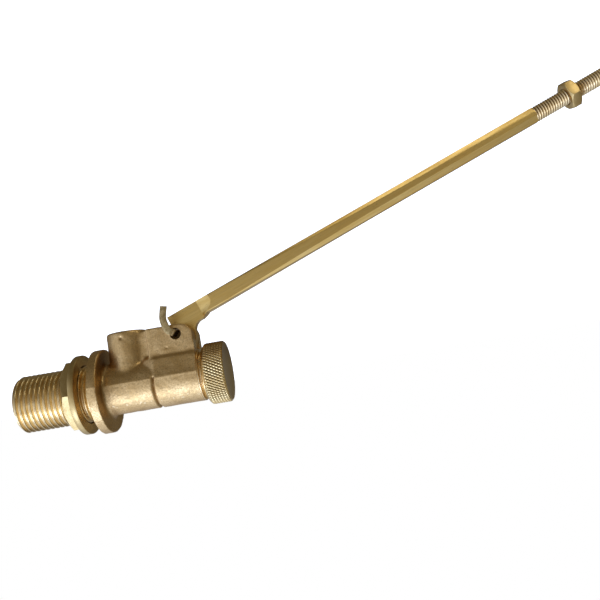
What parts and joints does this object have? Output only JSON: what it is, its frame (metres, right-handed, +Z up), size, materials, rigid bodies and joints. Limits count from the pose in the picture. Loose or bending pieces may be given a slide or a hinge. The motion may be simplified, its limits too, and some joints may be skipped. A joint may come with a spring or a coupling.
{
  "type": "float valve",
  "caption": "Piston-type brass float valve with threaded inlet shank, flanged backnut, outlet boss, knurled end cap and a hinged float arm, without its float.",
  "frame": {"origin": "centre of the body flange's tank-wall face, on the inlet axis", "axes": "+X along the inlet axis from the tank wall into the tank, +Z up in use, so the outlet and the float arm hang towards -Z"},
  "size_m": [0.2445, 0.031, 0.1064],
  "materials": {
    "cast_brass": "sand-cast, matt and speckled",
    "machined_brass": "turned, bright",
    "bar_brass": "drawn bar, satin",
    "pin_brass": "dull wire",
    "nylon": "moulded",
    "rubber": "moulded"
  },
  "bodies": {
    "valve": {"valve_body": "cast_brass", "inlet_seat": "nylon", "seat_washer": "rubber", "pivot_split_pin": "pin_brass"},
    "backnut": {"backnut": "machined_brass"},
    "float_arm": {"lever_arm": "bar_brass"},
    "piston": {"piston": "machined_brass", "piston_cap": "machined_brass", "piston_washer": "rubber"},
    "end_cap": {"end_cap": "machined_brass"},
    "float_locknut": {"float_locknut": "machined_brass"}
  },
  "joints": [
    {"name": "arm_hinge", "type": "hinge", "parent": "valve", "child": "float_arm", "pos_m": [0.03207, 0, -0.01614], "axis": [0, -1, 0], "range_deg": [0, 21]},
    {"name": "piston_slide", "type": "slide", "parent": "valve", "child": "piston", "axis": [1, 0, 0], "range_m": [-0.0064, 0]},
    {"name": "backnut_travel", "type": "slide", "parent": "valve", "child": "backnut", "axis": [1, 0, 0], "range_m": [-0.018, 0.0048]},
    {"name": "locknut_travel", "type": "slide", "parent": "float_arm", "child": "float_locknut", "axis": [0.9379, 0, -0.3469], "range_m": [-0.0125, 0.021]},
    {"name": "end_cap_travel", "type": "slide", "parent": "valve", "child": "end_cap", "axis": [1, 0, 0], "range_m": [0, 0.006]}
  ],
  "couplings": [
    {"joint": "piston_slide", "follows": "arm_hinge", "m_per_rad": -0.017057}
  ]
}
